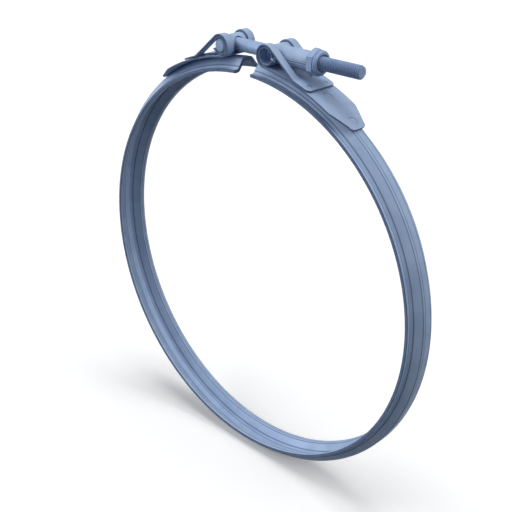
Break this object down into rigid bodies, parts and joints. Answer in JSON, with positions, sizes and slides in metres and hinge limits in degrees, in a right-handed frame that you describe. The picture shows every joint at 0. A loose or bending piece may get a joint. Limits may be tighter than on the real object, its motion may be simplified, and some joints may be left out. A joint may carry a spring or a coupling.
{
  "type": "v-band clamp",
  "caption": "V-band clamp for round duct flanges: a split V-section ring with folded, slotted straps whose loops hold a T-bolt and a trunnion, drawn together by a lock nut.",
  "frame": {"origin": "centre of the retainer ring, on its axis and midway across its width", "axes": "+Y along the ring's axis, +Z out through the split and the latch, +X along the bolt towards its nut"},
  "size_m": [0.2184, 0.0186, 0.2299],
  "materials": {
    "ring_sheet": "zinc-plated, blue passivated, rolled sheet",
    "strap_sheet": "zinc-plated, blue passivated, pressed sheet",
    "fastener": "zinc-plated, blue passivated, forged and threaded",
    "spring": "spring steel, oiled"
  },
  "bodies": {
    "clamp_band": {"retainer_ring": "ring_sheet", "strap_left": "strap_sheet", "strap_right": "strap_sheet", "head_saddle": "strap_sheet"},
    "t_bolt": {"t_bolt": "fastener"},
    "trunnion": {"trunnion": "strap_sheet"},
    "lock_ring": {"nut_lock_ring": "spring"},
    "nut": {"nut": "fastener"}
  },
  "joints": [
    {"name": "t_bolt_rock", "type": "hinge", "parent": "clamp_band", "child": "t_bolt", "pos_m": [-0.015, 0, 0.11416], "axis": [0, 1, 0], "range_deg": [-0.5, 0.5]},
    {"name": "trunnion_rock", "type": "hinge", "parent": "clamp_band", "child": "trunnion", "pos_m": [0.0151, 0, 0.11416], "axis": [0, 1, 0], "range_deg": [-0.5, 0.5]},
    {"name": "nut_travel", "type": "slide", "parent": "t_bolt", "child": "lock_ring", "axis": [1, 0, 0], "range_m": [0, 0.01814]},
    {"name": "nut_turn", "type": "hinge", "parent": "lock_ring", "child": "nut", "pos_m": [0.0368, 0, 0.11416], "axis": [1, 0, 0], "range_deg": [0, 7200]}
  ],
  "couplings": [
    {"joint": "trunnion_rock", "follows": "t_bolt_rock", "ratio": 1},
    {"joint": "nut_turn", "follows": "nut_travel", "rad_per_m": 6926.3}
  ]
}
